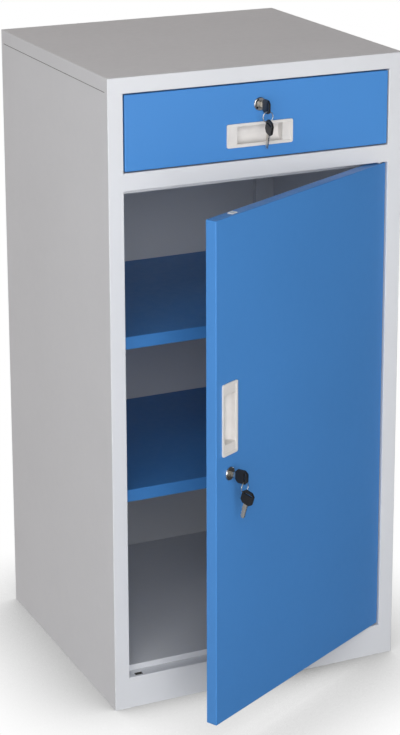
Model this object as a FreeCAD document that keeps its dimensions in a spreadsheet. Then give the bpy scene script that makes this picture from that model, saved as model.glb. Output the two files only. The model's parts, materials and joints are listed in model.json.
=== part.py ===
import FreeCAD, Part
import Sketcher
import operator
import os
from collections import namedtuple
from math import cos, pi, radians, sin
from types import SimpleNamespace

# A steel storage cabinet with one drawer over a cupboard. Millimetres and degrees.
# Origin: middle of the footprint on the floor. +X right, +Y to the back, +Z up.
SIZES = {
    # carcass
    "width": 500,
    "depth": 460,
    "height": 1020,
    "sheet": 1,
    "bend": 1.5,
    "stile": 25,
    "stile_lip": 20,
    "top_rail": 25,
    "top_lip": 15,
    "cap_flange": 22,
    "seam": 1,
    "seam_end": 11,
    "seam_overlap": 20,
    "strip_reach": 4,
    "drawer_opening": 121,
    "mid_rail": 28,
    "bottom_rail": 52,
    "rail_lip": 20,
    "rear_flange": 20,
    "base_foot": 20,
    "base_height": 15,
    "stop_depth": 22,
    "stop_height": 10,
    "tray_flange": 20,
    # door and drawer fronts
    "front_gap": 2,
    "front_thickness": 18,
    "front_lip": 15,
    "door_open_angle": 28,
    "hinge_inset": 10,
    "hinge_setback": 6,
    "hinge_pin": 2.5,
    "hinge_pin_length": 10,
    "hinge_disc": 5,
    "hinge_bush": 4,
    "hinge_collar": 4.7,
    "running": 0.05,
    "seat_gap": 0.3,
    "stiffener_width": 60,
    "stiffener_brim": 15,
    "stiffener_end": 16,
    "bumper": 3.5,
    "bumper_inset": 23,
    # uprights, shelves and clips
    "upright_width": 35,
    "upright_depth": 12,
    "upright_setback": 70,
    "slot_start": 52.2,
    "slot_pitch": 50.8,
    "slot_width": 12,
    "slot_height": 16,
    "slot_leg": 3,
    "slot_bar": 4,
    "upper_slot_count": 9,
    "lower_slot_count": 4,
    "shelf_lip": 20,
    "shelf_setback": 65,
    "shelf_play": 1,
    "shelf_rear_gap": 1.5,
    "clip_rise": 3.6,
    "clip_width": 10,
    "clip_height": 14,
    "clip_reach": 12,
    # drawer and runners
    "drawer_rear_gap": 45,
    "drawer_box_rise": 12,
    "drawer_box_height": 90,
    "drawer_hem": 8,
    "drawer_back_drop": 10,
    "runner_space": 21,
    "runner_setback": 25,
    "runner_rear_gap": 35,
    "roller_rise": 27.8,
    "roller": 10.5,
    "roller_width": 11,
    "roller_pin": 3,
    "roller_head": 4.5,
    "roller_head_depth": 1.5,
    "roller_inset": 15,
    "runner_play": 2,
    "runner_slack": 1.4,
    "bracket_length": 30,
    # pull handles
    "handle_length": 112,
    "handle_width": 37,
    "handle_corner": 3,
    "handle_base": 1.7,
    "handle_rim": 0.8,
    "handle_rim_width": 4.5,
    "recess_length": 76.5,
    "recess_width": 26.5,
    "recess_depth": 14,
    "recess_scoop": 11,
    "handle_wall": 1.5,
    "drawer_handle_rise": 40,
    "drawer_handle_to_lock": 46,
    "door_handle_inset": 32,
    "door_handle_height": 538,
    "door_handle_to_lock": 86,
    # locks
    "bezel": 10.5,
    "bezel_proud": 3,
    "bezel_round": 1,
    "barrel": 9,
    "drawer_barrel": 24,
    "door_barrel": 12.2,
    "plug": 6,
    "plug_recess": 0.4,
    "lock_nut": 12,
    "lock_nut_depth": 5,
    "cam_plate": 2,
    "cam_gap": 0.3,
    "cam_stud": 3.5,
    "cam_nut": 5.5,
    "cam_nut_depth": 3,
    "cam_length": 44,
    "cam_width": 14,
    # lock rods
    "upper_rod_offset": 20,
    "lower_rod_offset": 15,
    "rod_width": 8,
    "rod_thickness": 4,
    "rod_setback": 9.5,
    "rod_travel": 15,
    "rod_proud": 1,
    "rod_tail": 6,
    "rod_stud": 2.5,
    "rod_slot_play": 2.5,
    "cam_slot_play": 0.4,
    "cam_hub": 15.5,
    "cam_rim": 3,
    "guide_wall": 2.2,
    "guide_depth": 6,
    # keys
    "key_head_length": 22,
    "key_head_width": 21,
    "key_head_corner": 4.5,
    "key_head_thickness": 3.2,
    "key_head_start": 12,
    "key_tang": 6,
    "key_blade": 24,
    "key_blade_width": 7.5,
    "key_blade_thickness": 2,
    "key_bit": 1.4,
    "key_slot": 16,
    "key_slot_width": 2.4,
    "key_slot_inset": 5.5,
    "keyway_play": 0.2,
    "ring": 8.3,
    "ring_wire": 0.65,
    "spare_tilt": 17,
}
SLOT_SAMPLES = 13
QUARTER_TURN = 90
NUT_SIDES = 6
# Which end of the slot in a key's head hangs on the ring
LOW_END = -1
HIGH_END = 1
# A key's bitting, from the head to the tip: bit steps from the tip, and depth in bits
KEY_TEETH = ((9, 0), (8, 1), (7, 0), (6, 0), (5, 1), (4, 1), (3, 0), (0, 2))
# Two points closer than this count as one
TOUCH = 0.01
# A round slot end stops this share short of a half circle's radius, so its flank keeps a length
FULL_ROUND = 0.999

doc = FreeCAD.newDocument("storage_cabinet")
sheet = doc.addObject("Spreadsheet::Sheet", "dims")
for row, (alias, number) in enumerate(SIZES.items(), 1):
    sheet.set(f"A{row}", alias)
    sheet.set(f"B{row}", str(number))
    sheet.setAlias(f"B{row}", alias)
doc.recompute()

OPERATIONS = {"+": operator.add, "-": operator.sub, "*": operator.mul, "/": operator.truediv}
Circle = namedtuple("Circle", "x y radius")


class Size:
    """A length that knows its formula in the sheet's aliases and its value."""

    def __init__(self, text, value):
        self.text = text
        self.value = value

    def join(self, sign, other, swapped=False):
        other = as_size(other)
        first, second = (other, self) if swapped else (self, other)
        value = OPERATIONS[sign](first.value, second.value)
        return Size(f"({first.text} {sign} {second.text})", value)

    def __add__(self, other):
        return self.join("+", other)

    def __radd__(self, other):
        return self.join("+", other, True)

    def __sub__(self, other):
        return self.join("-", other)

    def __rsub__(self, other):
        return self.join("-", other, True)

    def __mul__(self, other):
        return self.join("*", other)

    def __rmul__(self, other):
        return self.join("*", other, True)

    def __truediv__(self, other):
        return self.join("/", other)

    def __neg__(self):
        return self.join("-", 0, True)


def as_size(number):
    return number if isinstance(number, Size) else Size(repr(number), number)


def bind(item, name, size):
    item.setExpression(name, as_size(size).text)


d = SimpleNamespace(**{alias: Size(f"dims.{alias}", float(sheet.get(alias))) for alias in SIZES})

# Places that several pieces share
front = -d.depth / 2
back = d.depth / 2
half = d.width / 2
inside = half - d.sheet
opening = half - d.stile
front_half = opening - d.front_gap
front_back = front + d.front_thickness
stop = front + d.stop_depth
rear_wall = back - 2 * d.sheet
mid_top = d.height - d.top_rail - d.drawer_opening
mid_low = mid_top - d.mid_rail
floor_top = d.bottom_rail + d.stop_height
hinge_x = front_half - d.hinge_inset
hinge_y = front + d.hinge_setback
door_low = d.bottom_rail + d.front_gap
door_high = mid_low - d.front_gap
DOOR_PLACE = (
    "placement(vector(0; 0; 0); rotation(vector(0; 0; 1); dims.door_open_angle); "
    f"vector({hinge_x.text}; {hinge_y.text}; 0))"
)
nodes = {}


def new_body(label, on_door=False):
    """An empty body, swung open with the door where it belongs to it."""
    body = doc.addObject("PartDesign::Body", label)
    body.Label = label
    if on_door:
        body.setExpression("Placement", DOOR_PLACE)
    return body


def keep(item):
    """Counts a finished object as one of the cabinet's pieces."""
    nodes[item.Label] = item
    return item


def pair(label, first, on_door=False):
    """One node of a piece and its mirror image across the middle plane."""
    return group(label, [first, mirrored(label + "_right", first)], on_door)


def mirrored(label, source):
    image = doc.addObject("Part::Mirroring", label)
    image.Label = label
    image.Source = source
    image.Normal = (1, 0, 0)
    return image


def group(label, members, on_door=False):
    made = doc.addObject("Part::Compound", label)
    made.Label = label
    made.Links = members
    if on_door:
        made.setExpression("Placement", DOOR_PLACE)
    return keep(made)


def origin_part(body, role):
    return next(item for item in body.Origin.OriginFeatures if item.Role == role)


def sketch_on(body, plane, level, shift=(0, 0), turn=0):
    """A sketch parallel to an origin plane. Its axes are the plane's, shifted and turned."""
    made = body.newObject("Sketcher::SketchObject", "sketch")
    made.AttachmentSupport = [(origin_part(body, plane + "_Plane"), "")]
    made.MapMode = "FlatFace"
    spin = FreeCAD.Rotation(FreeCAD.Vector(0, 0, 1), as_size(turn).value)
    made.AttachmentOffset = FreeCAD.Placement(FreeCAD.Vector(), spin)
    bind(made, "AttachmentOffset.Base.x", shift[0])
    bind(made, "AttachmentOffset.Base.y", shift[1])
    bind(made, "AttachmentOffset.Base.z", level)
    if isinstance(turn, Size):
        bind(made, "AttachmentOffset.Rotation.Angle", turn)
    return made


def point(x, y):
    return FreeCAD.Vector(as_size(x).value, as_size(y).value, 0)


def fix(made, kind, place, size):
    """Ties one coordinate of a sketch point, or a radius, to a formula."""
    number = made.addConstraint(Sketcher.Constraint(kind, *place, as_size(size).value))
    bind(made, f"Constraints[{number}]", size)


def fix_point(made, geometry, end, x, y):
    fix(made, "DistanceX", (-1, 1, geometry, end), x)
    fix(made, "DistanceY", (-1, 1, geometry, end), y)


def step(start, end):
    """Unit direction between two corners that lie on one axis."""
    along = point(*end[:2]) - point(*start[:2])
    along.normalize()
    return round(along.x), round(along.y)


def draw(made, loop):
    """A circle, or a closed outline whose corners may carry a rounding radius."""
    if isinstance(loop, Circle):
        centre = point(loop.x, loop.y)
        number = made.addGeometry(Part.Circle(centre, FreeCAD.Vector(0, 0, 1), as_size(loop.radius).value))
        fix_point(made, number, 3, loop.x, loop.y)
        fix(made, "Radius", (number,), loop.radius)
        return
    arrive, leave, centres = [], [], []
    for index, corner in enumerate(loop):
        x, y = corner[:2]
        if len(corner) == 2:
            arrive.append((x, y))
            leave.append((x, y))
            centres.append(None)
            continue
        come = step(loop[index - 1], corner)
        go = step(corner, loop[(index + 1) % len(loop)])
        radius = corner[2]
        arrive.append((x - radius * come[0], y - radius * come[1]))
        leave.append((x + radius * go[0], y + radius * go[1]))
        centres.append((x + radius * (go[0] - come[0]), y + radius * (go[1] - come[1])))
    count = len(loop)
    lines = []
    for index in range(count):
        ends = leave[index], arrive[(index + 1) % count]
        lines.append(made.addGeometry(Part.LineSegment(point(*ends[0]), point(*ends[1]))))
    for index in range(count):
        coming, going = lines[index - 1], lines[index]
        fix_point(made, going, 1, *leave[index])
        if centres[index] is None:
            made.addConstraint(Sketcher.Constraint("Coincident", coming, 2, going, 1))
            continue
        fix_point(made, coming, 2, *arrive[index])
        centre = point(*centres[index])
        corner = point(*loop[index][:2])
        radius = as_size(loop[index][2]).value
        middle = centre + (corner - centre).normalize() * radius
        arc = made.addGeometry(Part.Arc(point(*arrive[index]), middle, point(*leave[index])))
        forward = made.getPoint(arc, 1).distanceToPoint(point(*arrive[index])) < radius / 2
        made.addConstraint(Sketcher.Constraint("Coincident", arc, 1 if forward else 2, coming, 2))
        made.addConstraint(Sketcher.Constraint("Coincident", arc, 2 if forward else 1, going, 1))
        fix(made, "DistanceX", (-1, 1, arc, 3), centres[index][0])


def extrude(body, kind, plane, low, high, *loops, shift=(0, 0), turn=0):
    """A Pad or a Pocket between two levels along the axis square to the plane."""
    level = -high if plane == "XZ" else low
    made = sketch_on(body, plane, level, shift, turn)
    for loop in loops:
        draw(made, loop)
    feature = body.newObject(f"PartDesign::{kind}", kind.lower())
    feature.Profile = made
    bind(feature, "Length", high - low)
    feature.Reversed = kind == "Pocket"
    return feature


def box(x0, x1, y0, y1, radius=None):
    """A rectangle's corners, all rounded alike where a radius is given."""
    corners = [(x0, y0), (x1, y0), (x1, y1), (x0, y1)]
    return corners if radius is None else [(x, y, radius) for x, y in corners]


def turned(label, axis, centre, loop, on_door=False):
    """A round piece: the loop gives radius and place along the axis through the centre."""
    body = new_body(label, on_door)
    first, second = centre
    if axis == "X":
        made = sketch_on(body, "XY", second, (0, first))
        loop = Circle(loop.y, loop.x, loop.radius) if isinstance(loop, Circle) else [(y, x) for x, y in loop]
    elif axis == "Y":
        made = sketch_on(body, "XY", second, (first, 0))
    else:
        made = sketch_on(body, "XZ", -second, (first, 0))
    draw(made, loop)
    feature = body.newObject("PartDesign::Revolution", "turn")
    feature.Profile = made
    feature.ReferenceAxis = (made, ["H_Axis" if axis == "X" else "V_Axis"])
    feature.Angle = 360
    return body


def round_edges(body, radius, pick):
    """Rounds the edges whose two end points both satisfy the pick."""
    doc.recompute()
    tip = body.Tip
    names = []
    for number, edge in enumerate(tip.Shape.Edges, 1):
        if all(pick(vertex.Point) for vertex in edge.Vertexes):
            names.append(f"Edge{number}")
    feature = body.newObject("PartDesign::Fillet", "round")
    feature.Base = (tip, names)
    bind(feature, "Radius", radius)


def near(number, size):
    return abs(number - as_size(size).value) < TOUCH


def hexagon(x, y, across):
    """A nut's corners round a centre, from half its width across the flats."""
    corner = across / cos(pi / NUT_SIDES)
    turns = [2 * pi * k / NUT_SIDES for k in range(NUT_SIDES)]
    return [(x + corner * cos(a), y + corner * sin(a)) for a in turns]


# Carcass
def make_side():
    body = new_body("left_side_panel")
    web = -half
    top = d.height - d.cap_flange
    lip_x = web + d.stile
    lip_y = front + d.stile_lip
    profile = [
        (web, front, d.bend),
        (lip_x, front, d.bend),
        (lip_x, lip_y),
        (lip_x - d.sheet, lip_y),
        (lip_x - d.sheet, front + d.sheet),
        (web + d.sheet, front + d.sheet),
        (web + d.sheet, back - d.sheet),
        (web + d.rear_flange, back - d.sheet),
        (web + d.rear_flange, back),
        (web, back, d.bend),
    ]
    extrude(body, "Pad", "XY", as_size(0), top, profile)
    seam_low = front + d.seam_end
    seam_high = back - d.seam_end
    strip = box(web + d.sheet, web + 2 * d.sheet, seam_low - d.strip_reach, seam_high + d.strip_reach)
    extrude(body, "Pad", "XY", top - d.seam_overlap, d.height - 2 * d.sheet, strip)
    notch = [
        (web, front),
        (lip_x, front),
        (lip_x, lip_y),
        (lip_x - d.sheet, lip_y),
        (lip_x - d.sheet, front + d.sheet),
        (web, front + d.sheet),
    ]
    extrude(body, "Pocket", "XY", d.height - d.top_rail, top, notch)
    seam = box(web, web + d.sheet, seam_low, seam_high)
    extrude(body, "Pocket", "XY", top - d.seam, top, seam)
    keep(body)
    keep(mirrored("right_side_panel", body))


def make_top():
    body = new_body("top_panel")
    low = d.height - d.top_rail
    under = d.height - d.sheet
    extrude(body, "Pad", "XY", low, d.height, box(-half, half, front, back))

    def on_corner(p):
        return near(abs(p.x), half) and near(abs(p.y), back)

    round_edges(body, d.bend, on_corner)
    extrude(body, "Pocket", "XY", low, under, box(-inside, inside, front + d.sheet, back - d.sheet))
    extrude(body, "Pocket", "XY", low, d.height - d.cap_flange, box(-half, half, front + d.sheet, back))
    lip = box(-opening, opening, front + d.sheet, front + d.top_lip)
    extrude(body, "Pad", "XY", low, low + d.sheet, lip)
    keep(body)


def make_back():
    body = new_body("back_panel")
    plate = box(-inside, inside, d.sheet, d.height - 2 * d.sheet)
    extrude(body, "Pad", "XZ", rear_wall, back - d.sheet, plate)
    keep(body)


def make_base():
    """An angle frame that the cabinet stands on, just behind the stile lips."""
    body = new_body("base_frame")
    near_y = front + d.stile_lip + d.sheet

    def ring(inset):
        return box(-inside + inset, inside - inset, near_y + inset, rear_wall - inset)

    floor = as_size(0)
    extrude(body, "Pad", "XY", floor, d.base_height, ring(floor), ring(d.base_foot))
    extrude(body, "Pocket", "XY", d.sheet, d.base_height, ring(d.sheet))
    keep(body)


def make_tray(label, top):
    """A plate across the carcass with turned-down edges. The front one is a door stop."""
    body = new_body(label)
    low = top - d.tray_flange
    extrude(body, "Pad", "XY", low, top, box(-inside, inside, stop, rear_wall))
    hollow = box(-inside + d.sheet, inside - d.sheet, stop + d.sheet, rear_wall - d.sheet)
    extrude(body, "Pocket", "XY", low, top - d.sheet, hollow)
    front_edge = box(-inside, inside, stop, stop + d.sheet)
    extrude(body, "Pocket", "XY", low, top - d.stop_height, front_edge)
    keep(body)


def make_rails():
    bottom = new_body("bottom_rail")
    low_lip = front + d.rail_lip
    profile = [
        (front, as_size(0)),
        (low_lip, as_size(0)),
        (low_lip, d.sheet),
        (front + d.sheet, d.sheet),
        (front + d.sheet, d.bottom_rail - d.sheet),
        (stop, d.bottom_rail - d.sheet),
        (stop, d.bottom_rail),
        (front, d.bottom_rail, d.bend),
    ]
    extrude(bottom, "Pad", "YZ", -opening, opening, profile)
    cut_rod_slot(bottom, lower_rod_x, d.bottom_rail - d.sheet)
    keep(bottom)
    middle = new_body("middle_rail")
    profile = [
        (front, mid_low, d.bend),
        (stop, mid_low),
        (stop, mid_low + d.sheet),
        (front + d.sheet, mid_low + d.sheet),
        (front + d.sheet, mid_top - d.sheet),
        (low_lip, mid_top - d.sheet),
        (low_lip, mid_top),
        (front, mid_top, d.bend),
    ]
    extrude(middle, "Pad", "YZ", -opening, opening, profile)
    cut_rod_slot(middle, upper_rod_x, mid_low)
    keep(middle)


def cut_rod_slot(body, x, low):
    """The slot in a rail's lip that a lock rod shoots into."""
    reach_x = d.rod_width / 2 + d.rod_slot_play
    reach_y = d.rod_thickness / 2 + d.rod_slot_play
    slot = box(x - reach_x, x + reach_x, rod_y - reach_y, rod_y + reach_y)
    extrude(body, "Pocket", "XY", low, low + d.sheet, slot)


def make_hinge_pins():
    """Studs welded to the rails. A disc on each keeps the door clear of the rail."""
    pins = []
    for label, seat, side in (("lower_pin", d.bottom_rail, 1), ("upper_pin", mid_low, -1)):
        disc = seat + side * (d.front_gap - d.seat_gap)
        end = disc + side * d.hinge_pin_length
        loop = [
            (0, seat),
            (d.hinge_disc, seat),
            (d.hinge_disc, disc),
            (d.hinge_pin, disc),
            (d.hinge_pin, end),
            (0, end),
        ]
        pins.append(turned(label, "Z", (hinge_x, hinge_y), loop))
    group("hinge_pins", pins)


# Shelf uprights, clips and shelves
upright_top = mid_low + d.sheet - d.tray_flange
rear_face = rear_wall - d.upright_depth
side_face = inside - d.upright_depth
side_low = front + d.upright_setback
side_high = side_low + d.upright_width
slot_low = floor_top + d.slot_start


def slot_outline(across):
    """An H: two legs and the bar between them, centred on the first slot."""
    wide = d.slot_width / 2
    leg = wide - d.slot_leg
    tall = d.slot_height / 2
    bar = d.slot_bar / 2
    right = [(leg, -bar), (leg, -tall), (wide, -tall), (wide, tall), (leg, tall), (leg, bar)]
    left = [(-x, -y) for x, y in right]
    return [(across + x, slot_low + y) for x, y in right + left]


def make_upright(label, plane, low, high, profile, across):
    body = new_body(label)
    extrude(body, "Pad", "XY", floor_top, upright_top, profile)
    cut = extrude(body, "Pocket", plane, low, high, slot_outline(across))
    row = body.newObject("PartDesign::LinearPattern", "slots")
    row.Originals = [cut]
    row.Direction = (origin_part(body, "Z_Axis"), [""])
    row.Mode = "Spacing"
    bind(row, "Offset", d.slot_pitch)
    room = (upright_top - slot_low - d.slot_height) / d.slot_pitch
    row.setExpression("Occurrences", f"floor({room.text}) + 1")
    body.Tip = row
    return keep(body)


def channel(x0, x1, y0, y1, flip):
    """A channel's section in two coordinates, its web along the first at y0, open at y1."""
    t = d.sheet
    corners = [
        (x0, y0),
        (x1, y0),
        (x1, y1),
        (x1 - t, y1),
        (x1 - t, y0 + t),
        (x0 + t, y0 + t),
        (x0 + t, y1),
        (x0, y1),
    ]
    return [(y, x) for x, y in corners] if flip else corners


def make_uprights():
    rear_x = inside - d.upright_width
    rear = channel(rear_x, inside, rear_face, rear_wall, False)
    centre = inside - d.upright_width / 2
    right = make_upright("right_rear_upright", "XZ", rear_face, rear_face + d.sheet, rear, centre)
    keep(mirrored("left_rear_upright", right))
    side = channel(side_low, side_high, side_face, inside, True)
    centre = side_low + d.upright_width / 2
    right = make_upright("right_front_upright", "YZ", side_face, side_face + d.sheet, side, centre)
    keep(mirrored("left_front_upright", right))


def shelf_top(steps):
    return slot_low + d.slot_pitch * steps + d.clip_rise + d.shelf_lip


def make_clip(label, plane, face, across, top):
    """A bent tab: one leg flat on an upright, one tongue under the shelf's edge."""
    body = new_body(label)
    t = d.sheet
    low = top - d.clip_height
    reach = face - t - d.clip_reach
    profile = [
        (face, low),
        (face, top),
        (reach, top),
        (reach, top - t),
        (face - t, top - t),
        (face - t, low),
    ]
    wide = d.clip_width / 2
    extrude(body, "Pad", plane, across - wide, across + wide, profile)
    return body


def make_clips():
    members = []
    for name, steps in (("upper", d.upper_slot_count), ("lower", d.lower_slot_count)):
        top = shelf_top(steps) - d.shelf_lip
        rear = make_clip(name + "_rear_clip", "YZ", rear_face, inside - d.upright_width / 2, top)
        side = make_clip(name + "_side_clip", "XZ", side_face, side_low + d.upright_width / 2, top)
        for clip in (rear, side):
            members += [clip, mirrored(clip.Label + "_left", clip)]
    group("shelf_clips", members)


def make_shelf(label, steps):
    """A tray, open below, with its rear corners cut away round the uprights."""
    body = new_body(label)
    top = shelf_top(steps)
    wide = side_face - d.sheet - d.shelf_play
    near_y = front + d.shelf_setback
    far_y = rear_wall - d.shelf_play
    notch_x = inside - d.upright_width - d.shelf_rear_gap
    notch_y = rear_face - d.sheet - d.shelf_rear_gap

    def outline(inset):
        right = [
            (wide - inset, near_y + inset),
            (wide - inset, notch_y - inset),
            (notch_x - inset, notch_y - inset),
            (notch_x - inset, far_y - inset),
        ]
        return right + [(-x, y) for x, y in reversed(right)]

    extrude(body, "Pad", "XY", top - d.shelf_lip, top, outline(as_size(0)))
    round_edges(body, d.bend, lambda p: near(p.y, near_y) and near(p.z, top))
    extrude(body, "Pocket", "XY", top - d.shelf_lip, top - d.sheet, outline(d.sheet))
    keep(body)


# Drawer runners and rollers
roller_z = mid_top + d.roller_rise
track = roller_z - d.roller - d.seat_gap
rail_under = roller_z + d.roller + d.seat_gap
runner_high = rail_under + 2 * d.sheet + d.runner_slack
drawer_half = opening - d.runner_space
runner_web = opening - d.sheet
slide_web = drawer_half + d.sheet
runner_near = front + d.runner_setback
drawer_rear = back - d.drawer_rear_gap
front_roller_y = runner_near + d.roller_inset
rear_roller_y = drawer_rear - d.roller_inset - d.sheet
pin_length = d.runner_play + d.roller_width + d.seat_gap


def add_axle(body, y, root, side):
    """A riveted axle with a head, standing out of a runner's web along X."""
    tip = root + side * pin_length
    end = tip + side * d.roller_head_depth
    for radius, a, b in ((d.roller_pin, root, tip), (d.roller_head, tip, end)):
        low, high = (a, b) if side > 0 else (b, a)
        extrude(body, "Pad", "YZ", low, high, Circle(y, roller_z, radius))


def make_runners():
    fixed = new_body("left_runner")
    web = -opening
    flange = -(slide_web + d.runner_play)
    t = d.sheet
    low = track - t
    profile = [
        (web, low),
        (flange, low),
        (flange, track),
        (web + t, track),
        (web + t, runner_high - t),
        (flange, runner_high - t),
        (flange, runner_high),
        (web, runner_high),
    ]
    extrude(fixed, "Pad", "XZ", runner_near, back - d.runner_rear_gap, profile)
    add_axle(fixed, front_roller_y, web + t, 1)
    keep(fixed)
    keep(mirrored("right_runner", fixed))
    slide = new_body("left_drawer_runner")
    outer = -(runner_web - d.runner_play)
    profile = [
        (-slide_web, track + t),
        (-drawer_half, track + t),
        (-drawer_half, rail_under + t),
        (outer, rail_under + t),
        (outer, rail_under),
        (-slide_web, rail_under),
    ]
    extrude(slide, "Pad", "XZ", front_back + d.front_gap, drawer_rear - t, profile)
    add_axle(slide, rear_roller_y, -slide_web, -1)
    keep(slide)
    keep(mirrored("right_drawer_runner", slide))


def make_rollers():
    bore = d.roller_pin + d.running
    near_x = -(runner_web - d.runner_play)
    far_x = -(slide_web + d.runner_play)
    spots = (
        ("front_rollers", front_roller_y, near_x, near_x + d.roller_width),
        ("rear_rollers", rear_roller_y, far_x - d.roller_width, far_x),
    )
    for label, y, low, high in spots:
        loop = [(bore, low), (d.roller, low), (d.roller, high), (bore, high)]
        pair(label, turned(label + "_left", "X", (y, roller_z), loop))


def make_brackets():
    """Spacers that carry the runners off the side panels."""
    low = track + d.sheet
    high = runner_high - 2 * d.sheet
    rear_y = back - d.runner_rear_gap - d.roller_inset
    members = []
    for name, y in (("front", runner_near), ("rear", rear_y - d.bracket_length)):
        body = new_body(name + "_bracket")
        section = channel(-inside, -opening, y, y + d.bracket_length, False)
        extrude(body, "Pad", "XY", low, high, section)
        members += [body, mirrored(name + "_bracket_right", body)]
    group("runner_brackets", members)


# Door and drawer fronts
door_lock_x = -front_half + d.door_handle_inset
rod_y = front + d.rod_setback
upper_rod_x = door_lock_x + d.upper_rod_offset
lower_rod_x = door_lock_x - d.lower_rod_offset
drawer_handle_z = mid_top + d.drawer_handle_rise
drawer_lock_z = drawer_handle_z + d.drawer_handle_to_lock
door_lock_z = d.door_handle_height - d.door_handle_to_lock


def make_front(label, low, high, on_door):
    """A tray with rounded outer edges, open at the back."""
    body = new_body(label, on_door)
    extrude(body, "Pad", "XZ", front, front_back, box(-front_half, front_half, low, high, d.bend))
    round_edges(body, d.bend, lambda p: near(p.y, front))
    hollow = box(-front_half + d.sheet, front_half - d.sheet, low + d.sheet, high - d.sheet)
    extrude(body, "Pocket", "XZ", front + d.sheet, front_back, hollow)
    return body


def cut_handle(body, x, z, upright):
    """The window that a pull handle's cup passes through."""
    long_reach = d.recess_length / 2 + d.handle_wall
    short_reach = d.recess_width / 2 + d.handle_wall
    reach_x, reach_z = (short_reach, long_reach) if upright else (long_reach, short_reach)
    window = box(x - reach_x, x + reach_x, z - reach_z, z + reach_z)
    extrude(body, "Pocket", "XZ", front, front + d.sheet, window)


def cut_lock(body, x, z, near_y):
    hole = Circle(x, z, d.barrel + d.running)
    extrude(body, "Pocket", "XZ", near_y, near_y + d.sheet, hole)


def make_door():
    body = make_front("door_skin", door_low, door_high, True)

    def frame(inset):
        return box(-front_half + inset, front_half - inset, door_low + inset, door_high - inset)

    extrude(body, "Pad", "XZ", front_back - d.sheet, front_back, frame(d.sheet), frame(d.front_lip))
    cut_handle(body, door_lock_x, d.door_handle_height, True)
    cut_lock(body, door_lock_x, door_lock_z, front)
    bush = Circle(hinge_x, hinge_y, d.hinge_bush)
    for low, rod_x in ((door_low, lower_rod_x), (door_high - d.sheet, upper_rod_x)):
        extrude(body, "Pocket", "XY", low, low + d.sheet, bush, guide_outline(rod_x, d.guide_wall))
    keep(body)


def guide_outline(x, wall):
    reach_x = d.rod_width / 2 + d.seat_gap + wall
    reach_y = d.rod_thickness / 2 + d.seat_gap + wall
    return box(x - reach_x, x + reach_x, rod_y - reach_y, rod_y + reach_y)


def make_door_fittings():
    stiffener = new_body("door_stiffener", True)
    t = d.sheet
    crown = d.stiffener_width / 2
    brim = crown + d.stiffener_brim
    base = front + t
    top = front_back - 2 * t
    right = [
        (crown - t, top - t),
        (crown - t, base),
        (brim, base),
        (brim, base + t),
        (crown, base + t),
        (crown, top),
    ]
    profile = right + [(-x, y) for x, y in reversed(right)]
    extrude(stiffener, "Pad", "XY", door_low + d.stiffener_end, door_high - d.stiffener_end, profile)
    keep(stiffener)
    guides, bushes, bumpers = [], [], []
    pad_end = stop - d.seat_gap
    ends = (("lower", door_low, 1, lower_rod_x), ("upper", door_high, -1, upper_rod_x))
    for name, edge, side, rod_x in ends:
        guide = new_body(name + "_guide")
        outline = guide_outline(rod_x, d.guide_wall)
        hole = guide_outline(rod_x, as_size(0))
        proud = edge - side * d.rod_proud
        sunk = edge + side * d.guide_depth
        low, high = (proud, sunk) if side > 0 else (sunk, proud)
        extrude(guide, "Pad", "XY", low, high, outline, hole)
        guides.append(guide)
        bore = d.hinge_pin + d.running
        collar = edge + side * t
        rim = collar + side * t
        end = edge + side * (d.hinge_pin_length + t)
        loop = [
            (bore, edge),
            (d.hinge_bush, edge),
            (d.hinge_bush, collar),
            (d.hinge_collar, collar),
            (d.hinge_collar, rim),
            (d.hinge_bush, rim),
            (d.hinge_bush, end),
            (bore, end),
        ]
        bushes.append(turned(name + "_bush", "Z", (hinge_x, hinge_y), loop))
        height = edge + side * (d.stop_height - d.front_gap) / 2 + side * t
        for x in (-front_half + d.bumper_inset, front_half - d.bumper_inset):
            loop = [(0, front_back), (d.bumper, front_back), (d.bumper, pad_end), (0, pad_end)]
            bumpers.append(turned(name + "_bumper", "Y", (x, height), loop))
    group("rod_guides", guides, True)
    group("hinge_bushes", bushes, True)
    group("door_bumpers", bumpers, True)


def make_drawer():
    low = mid_top + d.front_gap
    high = d.height - d.top_rail - d.front_gap
    tray = make_front("drawer_front", low, high, False)
    cut_handle(tray, as_size(0), drawer_handle_z, False)
    cut_lock(tray, as_size(0), drawer_lock_z, front)
    keep(tray)
    t = d.sheet
    inner = new_body("drawer_inner_front")
    plate = box(-front_half + t, front_half - t, low + t, high - t)
    extrude(inner, "Pad", "XZ", front_back - t, front_back, plate)
    cut_lock(inner, as_size(0), drawer_lock_z, front_back - t)
    keep(inner)
    floor = mid_top + d.drawer_box_rise
    rim = floor + d.drawer_box_height
    side = new_body("drawer_left_side")
    outer = -drawer_half
    hem = outer + d.drawer_hem
    profile = [
        (outer, floor),
        (outer + t, floor),
        (outer + t, rim - t),
        (hem, rim - t),
        (hem, rim),
        (outer, rim),
    ]
    extrude(side, "Pad", "XZ", front_back, drawer_rear, profile)
    keep(side)
    keep(mirrored("drawer_right_side", side))
    rear = new_body("drawer_back")
    plate = box(-drawer_half + t, drawer_half - t, floor, rim - d.drawer_back_drop)
    extrude(rear, "Pad", "XZ", drawer_rear - t, drawer_rear, plate)
    keep(rear)
    bottom = new_body("drawer_bottom")
    plate = box(-drawer_half + t, drawer_half - t, front_back, drawer_rear - t)
    extrude(bottom, "Pad", "XY", floor, floor + t, plate)
    keep(bottom)


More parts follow.
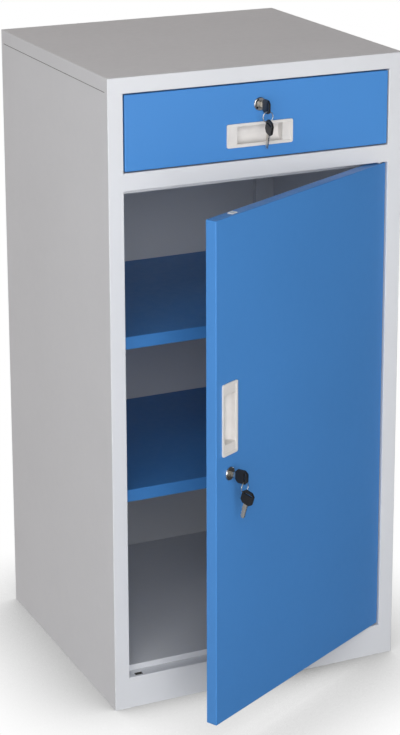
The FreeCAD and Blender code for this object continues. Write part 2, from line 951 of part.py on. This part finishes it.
def make_handle(label, x, z, upright, on_door):
    """A moulded flange with a raised rim round it and a scooped finger cup."""
    body = new_body(label, on_door)
    length = d.handle_length / 2
    width = d.handle_width / 2
    cup_length = d.recess_length / 2
    cup_width = d.recess_width / 2

    def face(inset, radius=None, a=length, b=width):
        reach_x, reach_z = (b - inset, a - inset) if upright else (a - inset, b - inset)
        return box(x - reach_x, x + reach_x, z - reach_z, z + reach_z, radius)

    pad = front - d.handle_base
    rim = pad - d.handle_rim
    deep = front + d.recess_depth
    extrude(body, "Pad", "XZ", rim, front, face(as_size(0), d.handle_corner))
    cup = face(-d.handle_wall, None, cup_length, cup_width)
    extrude(body, "Pad", "XZ", front, deep + d.handle_wall, cup)
    extrude(body, "Pocket", "XZ", rim, pad, face(d.handle_rim_width, d.handle_corner / 2))
    mid = x if upright else z
    scoop = [
        (mid - cup_width, rim),
        (mid - cup_width, deep, d.recess_scoop),
        (mid + cup_width, deep, d.recess_scoop),
        (mid + cup_width, rim),
    ]
    if upright:
        extrude(body, "Pocket", "XY", z - cup_length, z + cup_length, scoop)
    else:
        swapped = [(corner[1], corner[0], *corner[2:]) for corner in scoop]
        extrude(body, "Pocket", "YZ", x - cup_length, x + cup_length, swapped)
    keep(body)


# Locks and keys
key_pivot = d.key_slot / 2 - d.key_slot_width / 2
key_out = d.key_head_start + d.key_head_length - d.key_slot_inset


def make_lock(prefix, x, z, depth, on_door):
    """A housing with its nut, and the plug that turns in it and carries the cam."""
    face = front - d.bezel_proud
    barrel_end = front + depth
    bore = d.plug + d.running
    loop = [
        (bore, face),
        (d.bezel - d.bezel_round, face),
        (d.bezel, face + d.bezel_round),
        (d.bezel, front),
        (d.barrel, front),
        (d.barrel, barrel_end),
        (bore, barrel_end),
    ]
    keep(turned(prefix + "_lock_housing", "Y", (x, z), loop, on_door))
    nut = new_body(prefix + "_lock_nut", on_door)
    seat = front + d.sheet
    hole = Circle(x, z, d.barrel + d.running)
    extrude(nut, "Pad", "XZ", seat, seat + d.lock_nut_depth, hexagon(x, z, d.lock_nut), hole)
    keep(nut)
    plug_face = face + d.plug_recess
    cam_low = barrel_end + d.cam_gap
    cam_high = cam_low + d.cam_plate
    end = cam_high + d.cam_nut_depth
    loop = [
        (0, plug_face),
        (d.plug, plug_face),
        (d.plug, cam_low),
        (d.cam_stud, cam_low),
        (d.cam_stud, end),
        (0, end),
    ]
    plug = turned(prefix + "_lock_plug", "Y", (x, z), loop, on_door)
    reach_x = d.key_blade_thickness / 2 + d.keyway_play
    reach_z = d.key_blade_width / 2 + d.keyway_play
    keyway = box(x - reach_x, x + reach_x, z - reach_z, z + reach_z)
    keyway_end = front - d.key_head_start + d.key_blade + d.keyway_play
    extrude(plug, "Pocket", "XZ", plug_face, keyway_end, keyway)
    keep(plug)
    holder = new_body(prefix + "_cam_nut", on_door)
    hole = Circle(x, z, d.cam_stud)
    extrude(holder, "Pad", "XZ", cam_high, end, hexagon(x, z, d.cam_nut), hole)
    keep(holder)
    return cam_low, cam_high


def make_drawer_cam(low, high):
    """A straight bar that swings up behind the top rail's lip."""
    body = new_body("drawer_lock_cam")
    z = drawer_lock_z
    wide = d.cam_width / 2
    bar = [(-wide, z - wide), (d.cam_length, z - wide), (d.cam_length, z + wide), (-wide, z + wide)]
    extrude(body, "Pad", "XZ", low, high, bar, Circle(0, z, d.cam_stud))
    keep(body)


def slot_path(centre, radius, side):
    """Where a rod's stud lies on the cam as the cam turns and the rod rises evenly."""
    rise = d.rod_travel.value / radians(QUARTER_TURN)
    places = []
    for k in range(SLOT_SAMPLES):
        turn = radians(QUARTER_TURN) * k / (SLOT_SAMPLES - 1)
        x = side * radius
        z = side * rise * turn
        stud = FreeCAD.Vector(x * cos(turn) + z * sin(turn), 0, z * cos(turn) - x * sin(turn))
        places.append(centre + stud)
    return places


def band(places, reach, depth):
    """A plate of even width along a path, with round ends."""
    sides = ([], [])
    for k, place in enumerate(places):
        along = places[min(k + 1, len(places) - 1)] - places[max(k - 1, 0)]
        across = FreeCAD.Vector(-along.z, 0, along.x).normalize() * reach
        sides[0].append(place + across)
        sides[1].append(place - across)
    curves = []
    for places_on_side in sides:
        curve = Part.BSplineCurve()
        curve.interpolate(places_on_side)
        curves.append(curve.toShape())
    tips = []
    for k, inner in ((0, 1), (-1, -2)):
        out = (places[k] - places[inner]).normalize() * reach
        tips.append(Part.Arc(sides[0][k], places[k] + out, sides[1][k]).toShape())
    wire = Part.Wire(Part.__sortEdges__(curves + tips))
    return Part.Face(wire).extrude(FreeCAD.Vector(0, depth, 0))


def make_door_cam(low, high):
    """A cam plate whose two spiral slots drive the rods' studs apart."""
    depth = high.value - low.value
    axis = FreeCAD.Vector(0, 1, 0)
    centre = FreeCAD.Vector(door_lock_x.value, low.value, door_lock_z.value)
    shape = Part.makeCylinder(d.cam_hub.value, depth, centre, axis)
    slot_reach = d.rod_stud.value + d.cam_slot_play.value
    upper = slot_path(centre, d.upper_rod_offset.value, 1)
    lower = slot_path(centre, d.lower_rod_offset.value, -1)
    paths = (upper, lower)
    for path in paths:
        shape = shape.fuse(band(path, slot_reach + d.cam_rim.value, depth))
    for path in paths:
        shape = shape.cut(band(path, slot_reach, depth))
    shape = shape.cut(Part.makeCylinder(d.cam_stud.value, depth, centre, axis)).removeSplitter()
    item = doc.addObject("Part::Feature", "door_lock_cam")
    item.Label = "door_lock_cam"
    item.Shape = shape
    item.setExpression("Placement", DOOR_PLACE)
    keep(item)


def make_rods(cam_low, cam_high):
    """Two flat bars, each with a stud into its slot of the cam."""
    wide = d.rod_width / 2
    deep = d.rod_thickness / 2
    z = door_lock_z
    spots = (
        ("upper_rod", upper_rod_x, z - d.rod_tail, door_high + d.rod_proud),
        ("lower_rod", lower_rod_x, door_low - d.rod_proud, z + d.rod_tail),
    )
    for label, x, low, high in spots:
        rod = new_body(label, True)
        extrude(rod, "Pad", "XY", low, high, box(x - wide, x + wide, rod_y - deep, rod_y + deep))
        extrude(rod, "Pad", "XZ", rod_y + deep, cam_high + d.cam_gap, Circle(x, z, d.rod_stud))
        keep(rod)


def make_key(prefix, x, pivot, end, turn, on_door):
    """A key drawn hanging from the end of its head's slot, then turned about that end."""
    def place(corners):
        return [(across - end * key_pivot, d.key_slot_inset - along) for across, along in corners]

    def cut_or_pad(body, kind, reach, loop):
        extrude(body, kind, "YZ", x - reach, x + reach, loop, shift=pivot, turn=turn)

    wide = d.key_head_width / 2
    long = d.key_head_length
    cut = d.key_head_corner
    thick = d.key_head_thickness / 2
    head = new_body(prefix + "_head", on_door)
    corners = [
        (-wide, cut),
        (-wide + cut, 0),
        (wide - cut, 0),
        (wide, cut),
        (wide, long - cut),
        (wide - cut, long),
        (-wide + cut, long),
        (-wide, long - cut),
    ]
    cut_or_pad(head, "Pad", thick, place(corners))
    reach = d.key_slot_width / 2
    tall = d.key_slot / 2
    slot = place(box(-tall, tall, d.key_slot_inset - reach, d.key_slot_inset + reach))
    cut_or_pad(head, "Pocket", thick, [(*corner, reach * FULL_ROUND) for corner in slot])
    blade_wide = d.key_blade_width / 2
    thin = d.key_blade_thickness / 2
    root = long - d.key_tang
    cut_or_pad(head, "Pocket", thin, place(box(-blade_wide, blade_wide, root, long)))
    keep(head)
    blade = new_body(prefix + "_blade", on_door)
    tip = long + d.key_blade
    bit = d.key_bit
    teeth = [(blade_wide - bit * depth, tip - bit * steps) for steps, depth in KEY_TEETH]
    spine = [(-blade_wide + bit, tip), (-blade_wide, tip - bit), (-blade_wide, root)]
    cut_or_pad(blade, "Pad", thin, place([(blade_wide, root)] + teeth + spine))
    keep(blade)


def make_keys(prefix, x, z, on_door):
    """A key in the lock, a ring through its slot and a spare key hanging from the ring."""
    hang_y = front - key_out
    hang_z = z - key_pivot
    make_key(prefix + "_key", x, (hang_y, hang_z), LOW_END, QUARTER_TURN, on_door)
    wire = Circle(d.ring, hang_y, d.ring_wire)
    keep(turned(prefix + "_key_ring", "Y", (x, hang_z - d.ring), wire, on_door))
    make_key(prefix + "_spare_key", x, (hang_y, hang_z - 2 * d.ring), HIGH_END, d.spare_tilt, on_door)


make_side()
make_top()
make_back()
make_base()
make_tray("floor_panel", floor_top)
make_tray("partition_panel", mid_low + d.sheet)
make_rails()
make_hinge_pins()
make_uprights()
make_clips()
make_shelf("upper_shelf", d.upper_slot_count)
make_shelf("lower_shelf", d.lower_slot_count)
make_runners()
make_rollers()
make_brackets()
make_drawer()
make_handle("drawer_handle", as_size(0), drawer_handle_z, False, False)
drawer_cam_levels = make_lock("drawer", as_size(0), drawer_lock_z, d.drawer_barrel, False)
make_drawer_cam(*drawer_cam_levels)
make_keys("drawer", as_size(0), drawer_lock_z, False)
make_door()
make_door_fittings()
make_handle("door_handle", door_lock_x, d.door_handle_height, True, True)
door_cam_levels = make_lock("door", door_lock_x, door_lock_z, d.door_barrel, True)
make_door_cam(*door_cam_levels)
make_rods(*door_cam_levels)
make_keys("door", door_lock_x, door_lock_z, True)

doc.recompute()
failed = [item.Label for item in doc.Objects if {"Invalid", "Error"} & set(item.State)]
failed += [label for label, item in nodes.items() if item.Shape.isNull() or not item.Shape.isValid()]
if failed:
    raise RuntimeError(f"not built: {failed}")
os.makedirs("parts", exist_ok=True)
for label, item in nodes.items():
    item.Shape.exportStep(f"parts/{label}.step")
    print(label, len(item.Shape.Solids), "solids", round(item.Shape.Volume), "mm3")
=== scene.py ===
import json
import math

import bpy
from mathutils import Euler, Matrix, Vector


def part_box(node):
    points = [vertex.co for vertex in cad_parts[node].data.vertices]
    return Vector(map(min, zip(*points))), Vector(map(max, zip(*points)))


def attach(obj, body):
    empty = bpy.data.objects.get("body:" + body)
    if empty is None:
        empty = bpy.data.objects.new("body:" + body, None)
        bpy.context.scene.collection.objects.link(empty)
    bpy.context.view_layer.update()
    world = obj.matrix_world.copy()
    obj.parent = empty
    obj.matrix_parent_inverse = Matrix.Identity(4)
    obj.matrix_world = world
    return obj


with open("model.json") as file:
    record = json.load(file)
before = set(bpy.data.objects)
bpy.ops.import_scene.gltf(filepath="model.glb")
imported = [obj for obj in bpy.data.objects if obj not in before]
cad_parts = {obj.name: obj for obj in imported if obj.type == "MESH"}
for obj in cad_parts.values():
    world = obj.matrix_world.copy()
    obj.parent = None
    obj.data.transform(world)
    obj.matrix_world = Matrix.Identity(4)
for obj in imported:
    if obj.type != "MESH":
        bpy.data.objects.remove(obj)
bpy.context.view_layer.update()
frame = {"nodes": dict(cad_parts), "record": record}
nodes = frame["nodes"]

# Camera: aim and distance in metres, angles in degrees, lens and sensor in millimetres
AIM = Vector((0.0053, 0.0, 0.7506))
AZIMUTH = -24.68
ELEVATION = 14.62
ROLL = -0.16
DISTANCE = 3.562
LENS = 106.5
SENSOR = 36
SHIFT_Y = -0.225

# Linear colours
GREY_PAINT = (0.62, 0.632, 0.66)
BLUE_PAINT = (0.056, 0.222, 0.551)
GREY_PLASTIC = (0.65, 0.63, 0.615)
BLACK_PLASTIC = (0.007, 0.007, 0.008)
NYLON = (0.80, 0.79, 0.75)
RUBBER = (0.02, 0.02, 0.021)
# Painted shade: the dark colour of the side seams' strips
SEAM_SHADE_COLOUR = (0.045, 0.043, 0.042)
ZINC = (0.62, 0.63, 0.65)
CHROME = (0.72, 0.72, 0.73)
SATIN_NICKEL = (0.58, 0.56, 0.53)
NICKEL = (0.66, 0.63, 0.57)
PAPER = (0.60, 0.60, 0.60)

# The middle range of a noise texture's value, which holds nearly all of it
NOISE_LOW = 0.3
NOISE_HIGH = 0.7

# Plating streaks, in noise waves per metre along and across them
ALONG = 25.0
ACROSS = 1100.0
STREAKS_X = (ALONG, ACROSS, ACROSS)
STREAKS_Y = (ACROSS, ALONG, ACROSS)
STREAKS_Z = (ACROSS, ACROSS, ALONG)

# How far each finish's edges are softened, in metres
EDGE = {
    "grey_paint": 0.00035,
    "blue_paint": 0.00035,
    "zinc": 0.0003,
    "chrome": 0.0003,
    "plug_metal": 0.00025,
    "nickel": 0.0003,
    "grey_plastic": 0.0008,
    "black_plastic": 0.0006,
    "white_nylon": 0.0005,
    "rubber": 0.0005,
}
EDGE_SEGMENTS = 2

# CAD meshes: the gap to weld in metres, the angles of flat joints and sharp edges in degrees
WELD_GAP = 0.000005
FLAT_ANGLE = 0.2
SHARP_ANGLE = 35
LARGE_FACE_WEIGHT = 100

# Weld fills: half their width, and how far they stand proud, in metres
FILL = 0.0016
PROUD = 0.00003

# Side seams, in metres: below the cap's flange, this high, and this far from the cap's ends
CAP_FLANGE = 0.022
SEAM = 0.001
SEAM_END = 0.011
SEAM_DEPTH = SEAM / 4

# Floor: its size, and how far from the object its shade reaches, in metres
FLOOR_SIZE = 60
SHADE_REACH = 0.2
SHADE_SAMPLES = 8

# The light from the studio's walls, each strongest towards its own direction
WALLS = {
    (-1, 0, 0): (0.50, 0.49, 0.475),
    (1, 0, 0): (0.06, 0.06, 0.06),
    (0, -1, 0): (0.32, 0.32, 0.32),
    (0, 1, 0): (1.16, 1.08, 1.05),
}
WALL_FALLOFF = 2.0


class Material:
    """A material with one Principled shader and short ways to add texture nodes to it."""

    def __init__(self, name, colour, metallic=0.0):
        self.made = bpy.data.materials.new(name)
        self.made.use_nodes = True
        self.tree = self.made.node_tree
        self.shader = self.tree.nodes["Principled BSDF"]
        self.colour = colour
        self.set("Base Color", (*colour, 1))
        self.set("Metallic", metallic)
        self.place = self.add("ShaderNodeTexCoord").outputs["Object"]

    def add(self, kind, **settings):
        node = self.tree.nodes.new(kind)
        for key, value in settings.items():
            setattr(node, key, value)
        return node

    def set(self, socket, value):
        self.shader.inputs[socket].default_value = value

    def join(self, source, target):
        self.tree.links.new(source, target)

    def stretched(self, scale):
        """The object's own coordinates, scaled by a different factor along each axis."""
        node = self.add("ShaderNodeMapping")
        node.inputs["Scale"].default_value = scale
        self.join(self.place, node.inputs["Vector"])
        return node.outputs["Vector"]

    def noise(self, scale, detail=3.0, place=None):
        node = self.add("ShaderNodeTexNoise")
        node.inputs["Scale"].default_value = scale
        node.inputs["Detail"].default_value = detail
        self.join(place or self.place, node.inputs["Vector"])
        return node.outputs["Fac"]

    def spread(self, value, low, high):
        """Maps a noise value's middle range to low..high."""
        node = self.add("ShaderNodeMapRange")
        node.inputs["From Min"].default_value = NOISE_LOW
        node.inputs["From Max"].default_value = NOISE_HIGH
        node.inputs["To Min"].default_value = low
        node.inputs["To Max"].default_value = high
        self.join(value, node.inputs["Value"])
        return node.outputs["Result"]

    def vary_colour(self, value, dark, light):
        """Shifts the base colour between a darker and a lighter share of itself."""
        node = self.add("ShaderNodeMix", data_type="RGBA")
        sockets = {(s.name, s.type): s for s in node.inputs}
        sockets["A", "RGBA"].default_value = (*[c * dark for c in self.colour], 1)
        sockets["B", "RGBA"].default_value = (*[c * light for c in self.colour], 1)
        self.join(self.spread(value, 0.0, 1.0), sockets["Factor", "VALUE"])
        result = next(s for s in node.outputs if s.type == "RGBA")
        self.join(result, self.shader.inputs["Base Color"])

    def rough(self, value, low, high):
        self.join(self.spread(value, low, high), self.shader.inputs["Roughness"])

    def bump(self, value, distance, strength, under=None):
        """Raises the surface by a height value. A second bump goes on top of the one under it."""
        node = self.add("ShaderNodeBump")
        node.inputs["Distance"].default_value = distance
        node.inputs["Strength"].default_value = strength
        self.join(value, node.inputs["Height"])
        if under:
            self.join(under, node.inputs["Normal"])
        self.join(node.outputs["Normal"], self.shader.inputs["Normal"])
        return node.outputs["Normal"]


def powder_coat(name, colour):
    """Satin powder coat: orange peel, a fine grain, and slow changes of tone and gloss."""
    paint = Material(name, colour)
    tone = paint.noise(scale=7.0, detail=4.0)
    gloss = paint.noise(scale=90.0, detail=4.0)
    peel = paint.noise(scale=420.0, detail=2.0)
    grain = paint.noise(scale=2600.0, detail=1.0)
    paint.vary_colour(tone, dark=0.985, light=1.015)
    paint.rough(gloss, low=0.34, high=0.42)
    peeled = paint.bump(peel, distance=0.00022, strength=0.35)
    paint.bump(grain, distance=0.00006, strength=0.4, under=peeled)
    paint.set("Specular IOR Level", 0.42)
    return paint.made


def moulded(name, colour, low, high, grain=0.00008):
    """Moulded plastic with a spark-eroded grain."""
    plastic = Material(name, colour)
    plastic.vary_colour(plastic.noise(scale=60.0), dark=0.95, light=1.04)
    plastic.rough(plastic.noise(scale=500.0), low, high)
    plastic.bump(plastic.noise(scale=3200.0, detail=2.0), distance=grain, strength=0.6)
    return plastic.made


def plated(name, colour, low, high, streaks):
    """Plated steel with fine streaks along one direction and a cloudy tone."""
    metal = Material(name, colour, metallic=1.0)
    drawn = metal.noise(scale=1.0, detail=4.0, place=metal.stretched(streaks))
    metal.vary_colour(metal.noise(scale=45.0, detail=4.0), dark=0.82, light=1.08)
    metal.rough(drawn, low, high)
    metal.bump(drawn, distance=0.00005, strength=0.35)
    return metal.made


def mirror_plate(name, colour):
    """Polished chrome with faint wiping marks."""
    metal = Material(name, colour, metallic=1.0)
    metal.vary_colour(metal.noise(scale=120.0), dark=0.92, light=1.05)
    metal.rough(metal.noise(scale=260.0, detail=5.0), low=0.06, high=0.16)
    metal.bump(metal.noise(scale=180.0), distance=0.00004, strength=0.3)
    return metal.made


def soft_rubber(name, colour):
    """Matt rubber with a dusty tone and a coarse grain."""
    rubber = Material(name, colour)
    rubber.vary_colour(rubber.noise(scale=300.0), dark=0.8, light=1.3)
    rubber.rough(rubber.noise(scale=700.0), low=0.7, high=0.9)
    rubber.bump(rubber.noise(scale=1500.0), distance=0.0001, strength=0.5)
    return rubber.made


finishes = {
    "grey_paint": powder_coat("grey_powder_coat", GREY_PAINT),
    "blue_paint": powder_coat("blue_powder_coat", BLUE_PAINT),
    "zinc": plated("zinc_plate", ZINC, low=0.28, high=0.44, streaks=STREAKS_Y),
    "chrome": mirror_plate("polished_chrome", CHROME),
    "plug_metal": plated("satin_nickel_casting", SATIN_NICKEL, low=0.25, high=0.4, streaks=STREAKS_X),
    "nickel": plated("nickel_plate", NICKEL, low=0.2, high=0.36, streaks=STREAKS_Z),
    "grey_plastic": moulded("grey_moulded_plastic", GREY_PLASTIC, low=0.42, high=0.54),
    "black_plastic": moulded("black_moulded_plastic", BLACK_PLASTIC, low=0.36, high=0.5),
    "white_nylon": moulded("white_nylon", NYLON, low=0.38, high=0.5, grain=0.00005),
    "rubber": soft_rubber("soft_rubber", RUBBER),
}
rod_zinc = plated("zinc_rod_plate", ZINC, low=0.28, high=0.44, streaks=STREAKS_Z)
# The side seams' strips get a dark finish as painted shade
seam_shade_finish = plated("bare_seam_steel", SEAM_SHADE_COLOUR, low=0.5, high=0.7, streaks=STREAKS_Y)


def soften(obj, width):
    """Joins the facets of a CAD mesh and rounds its sharp edges a little."""
    obj.data.polygons.foreach_set("use_smooth", [True] * len(obj.data.polygons))
    weld = obj.modifiers.new("weld", "WELD")
    weld.merge_threshold = WELD_GAP
    flat = obj.modifiers.new("flat", "DECIMATE")
    flat.decimate_type = "DISSOLVE"
    flat.angle_limit = math.radians(FLAT_ANGLE)
    bevel = obj.modifiers.new("edges", "BEVEL")
    bevel.width = width
    bevel.segments = EDGE_SEGMENTS
    bevel.limit_method = "ANGLE"
    bevel.angle_limit = math.radians(SHARP_ANGLE)
    level = obj.modifiers.new("normals", "WEIGHTED_NORMAL")
    level.mode = "FACE_AREA"
    level.weight = LARGE_FACE_WEIGHT


# The lock rods are drawn along their length, which is upright
slot_of = {row["node"]: row["material_slot"] for row in frame["record"]["subparts"]}
for name, obj in nodes.items():
    slot = slot_of[name]
    obj.data.materials.clear()
    obj.data.materials.append(rod_zinc if name.endswith("_rod") else finishes[slot])
    soften(obj, EDGE[slot])


def strip(name, low, high, material):
    """A thin straight strip on the cabinet, between two corners."""
    mesh = bpy.data.meshes.new(name)
    (x0, y0, z0), (x1, y1, z1) = low, high
    ring = [(y0, z0), (y1, z0), (y1, z1), (y0, z1)]
    corners = [(x, y, z) for x in (x0, x1) for y, z in ring]
    sides = [(k, (k + 1) % 4, (k + 1) % 4 + 4, k + 4) for k in range(4)]
    mesh.from_pydata(corners, [], [(3, 2, 1, 0), (4, 5, 6, 7), *[face[::-1] for face in sides]])
    mesh.materials.append(material)
    obj = bpy.data.objects.new(name, mesh)
    bpy.context.collection.objects.link(obj)
    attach(obj, "cabinet")


# Weld fills, sanded flush under the paint, at both ends of the rails and at the cap's corners
grey_coat = finishes["grey_paint"]
for rail in ("bottom_rail", "middle_rail"):
    low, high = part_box(rail)
    for side, end in (("left", low[0]), ("right", high[0])):
        near_corner = (end - FILL, low[1] - PROUD, low[2])
        far_corner = (end + FILL, low[1] + FILL, high[2] - FILL)
        strip(f"{side}_{rail}_weld", near_corner, far_corner, grey_coat)
cap_low, cap_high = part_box("top_panel")
rail_low, rail_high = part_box("middle_rail")
for side, start, end in (("left", cap_low[0], rail_low[0]), ("right", rail_high[0], cap_high[0])):
    near_corner = (start + FILL, cap_low[1] - PROUD, cap_low[2] - FILL / 2)
    far_corner = (end - FILL, cap_low[1] + FILL / 2, cap_low[2] + FILL / 2)
    strip(f"{side}_corner_weld", near_corner, far_corner, grey_coat)

# A dark strip in each side seam, as painted shade for the shadow in the groove
seam_top = cap_high[2] - CAP_FLANGE
for side, start in (("left", cap_low[0] + SEAM_DEPTH), ("right", cap_high[0] - SEAM)):
    near_corner = (start, cap_low[1] + SEAM_END, seam_top - SEAM)
    far_corner = (start + SEAM - SEAM_DEPTH, cap_high[1] - SEAM_END, seam_top)
    strip(f"{side}_seam_steel", near_corner, far_corner, seam_shade_finish)


def plane(name, size, material):
    """A level square at height 0 that belongs to the stage."""
    half = size / 2
    mesh = bpy.data.meshes.new(name)
    corners = [(-half, -half, 0), (half, -half, 0), (half, half, 0), (-half, half, 0)]
    mesh.from_pydata(corners, [], [(0, 1, 2, 3)])
    mesh.materials.append(material)
    obj = bpy.data.objects.new(name, mesh)
    bpy.context.collection.objects.link(obj)
    return obj


# The camera sees white paper with painted shade near the object, from an occlusion node in its glow;
# the object gets its dim bounce and does not mirror it
paper = Material("white_paper", PAPER)
paper.rough(paper.noise(scale=30.0), low=0.85, high=0.95)
shade = paper.add("ShaderNodeAmbientOcclusion", samples=SHADE_SAMPLES)
shade.inputs["Distance"].default_value = SHADE_REACH
glow = paper.add("ShaderNodeEmission")
paper.join(shade.outputs["Color"], glow.inputs["Color"])
blend = paper.add("ShaderNodeMixShader")
paper.join(paper.add("ShaderNodeLightPath").outputs["Is Camera Ray"], blend.inputs["Fac"])
paper.join(paper.shader.outputs["BSDF"], blend.inputs[1])
paper.join(glow.outputs["Emission"], blend.inputs[2])
paper.join(blend.outputs["Shader"], paper.tree.nodes["Material Output"].inputs["Surface"])
floor = plane("floor", FLOOR_SIZE, paper.made)
floor.visible_glossy = False


def softbox(name, place, target, size, watts, mirrored=True):
    """A rectangular lamp, turned to its target and hidden from the camera."""
    lamp = bpy.data.lights.new(name, "AREA")
    lamp.shape = "RECTANGLE"
    lamp.size, lamp.size_y = size
    lamp.energy = watts
    obj = bpy.data.objects.new(name, lamp)
    obj.location = place
    obj.rotation_euler = (Vector(target) - Vector(place)).to_track_quat("-Z", "Y").to_euler()
    obj.visible_camera = False
    obj.visible_glossy = mirrored
    bpy.context.collection.objects.link(obj)


middle = (0, 0, 0.6)
front = (0, -0.2, 0.6)
low_middle = (0, 0, 0.5)
softbox("near_softbox", (-0.7, -2.2, 1.3), front, size=(1.0, 1.0), watts=18.5, mirrored=False)
softbox("front_softbox", (-0.35, -3.95, 0.8), middle, size=(1.6, 1.6), watts=36)
softbox("left_softbox", (-2.55, -3.05, 0.8), middle, size=(2.4, 2.0), watts=23)
softbox("high_softbox", (-1.6, -2.4, 2.4), front, size=(1.6, 1.6), watts=25)
softbox("right_softbox", (3.4, 2.2, 0.5), low_middle, size=(1.8, 0.9), watts=60)

world = bpy.data.worlds.new("studio")
bpy.context.scene.world = world
world.use_nodes = True
tree = world.node_tree


def world_math(kind, operation, first, second, result):
    """A math node of the world, whose two inputs are sockets or plain values."""
    node = tree.nodes.new(kind)
    node.operation = operation
    for socket, value in zip(node.inputs, (first, second)):
        if isinstance(value, bpy.types.NodeSocket):
            tree.links.new(value, socket)
        else:
            socket.default_value = value
    return node.outputs[result]


# The walls' light is added up, and the camera sees plain white behind the floor
direction = tree.nodes.new("ShaderNodeTexCoord").outputs["Generated"]
light = (0.0, 0.0, 0.0)
for axis, colour in WALLS.items():
    facing = world_math("ShaderNodeVectorMath", "DOT_PRODUCT", direction, axis, "Value")
    ahead = world_math("ShaderNodeMath", "MAXIMUM", facing, 0.0, "Value")
    share = world_math("ShaderNodeMath", "POWER", ahead, WALL_FALLOFF, "Value")
    wall = world_math("ShaderNodeVectorMath", "MULTIPLY", share, colour, "Vector")
    light = world_math("ShaderNodeVectorMath", "ADD", wall, light, "Vector")
seen = tree.nodes.new("ShaderNodeLightPath").outputs["Is Camera Ray"]
shown = world_math("ShaderNodeVectorMath", "MAXIMUM", light, seen, "Vector")
tree.links.new(shown, tree.nodes["Background"].inputs["Color"])

camera = bpy.data.cameras.new("camera")
camera.lens = LENS
camera.sensor_width = SENSOR
camera.shift_y = SHIFT_Y
eye = bpy.data.objects.new("camera", camera)
around = math.radians(AZIMUTH)
above = math.radians(ELEVATION)
level_run = math.cos(above)
back = Vector((math.sin(around) * level_run, -math.cos(around) * level_run, math.sin(above)))
eye.location = AIM + back * DISTANCE
looking = (-back).to_track_quat("-Z", "Y")
eye.rotation_euler = (looking @ Euler((0, 0, math.radians(ROLL))).to_quaternion()).to_euler()
bpy.context.collection.objects.link(eye)
bpy.context.scene.camera = eye
bpy.context.scene.view_settings.view_transform = "Standard"
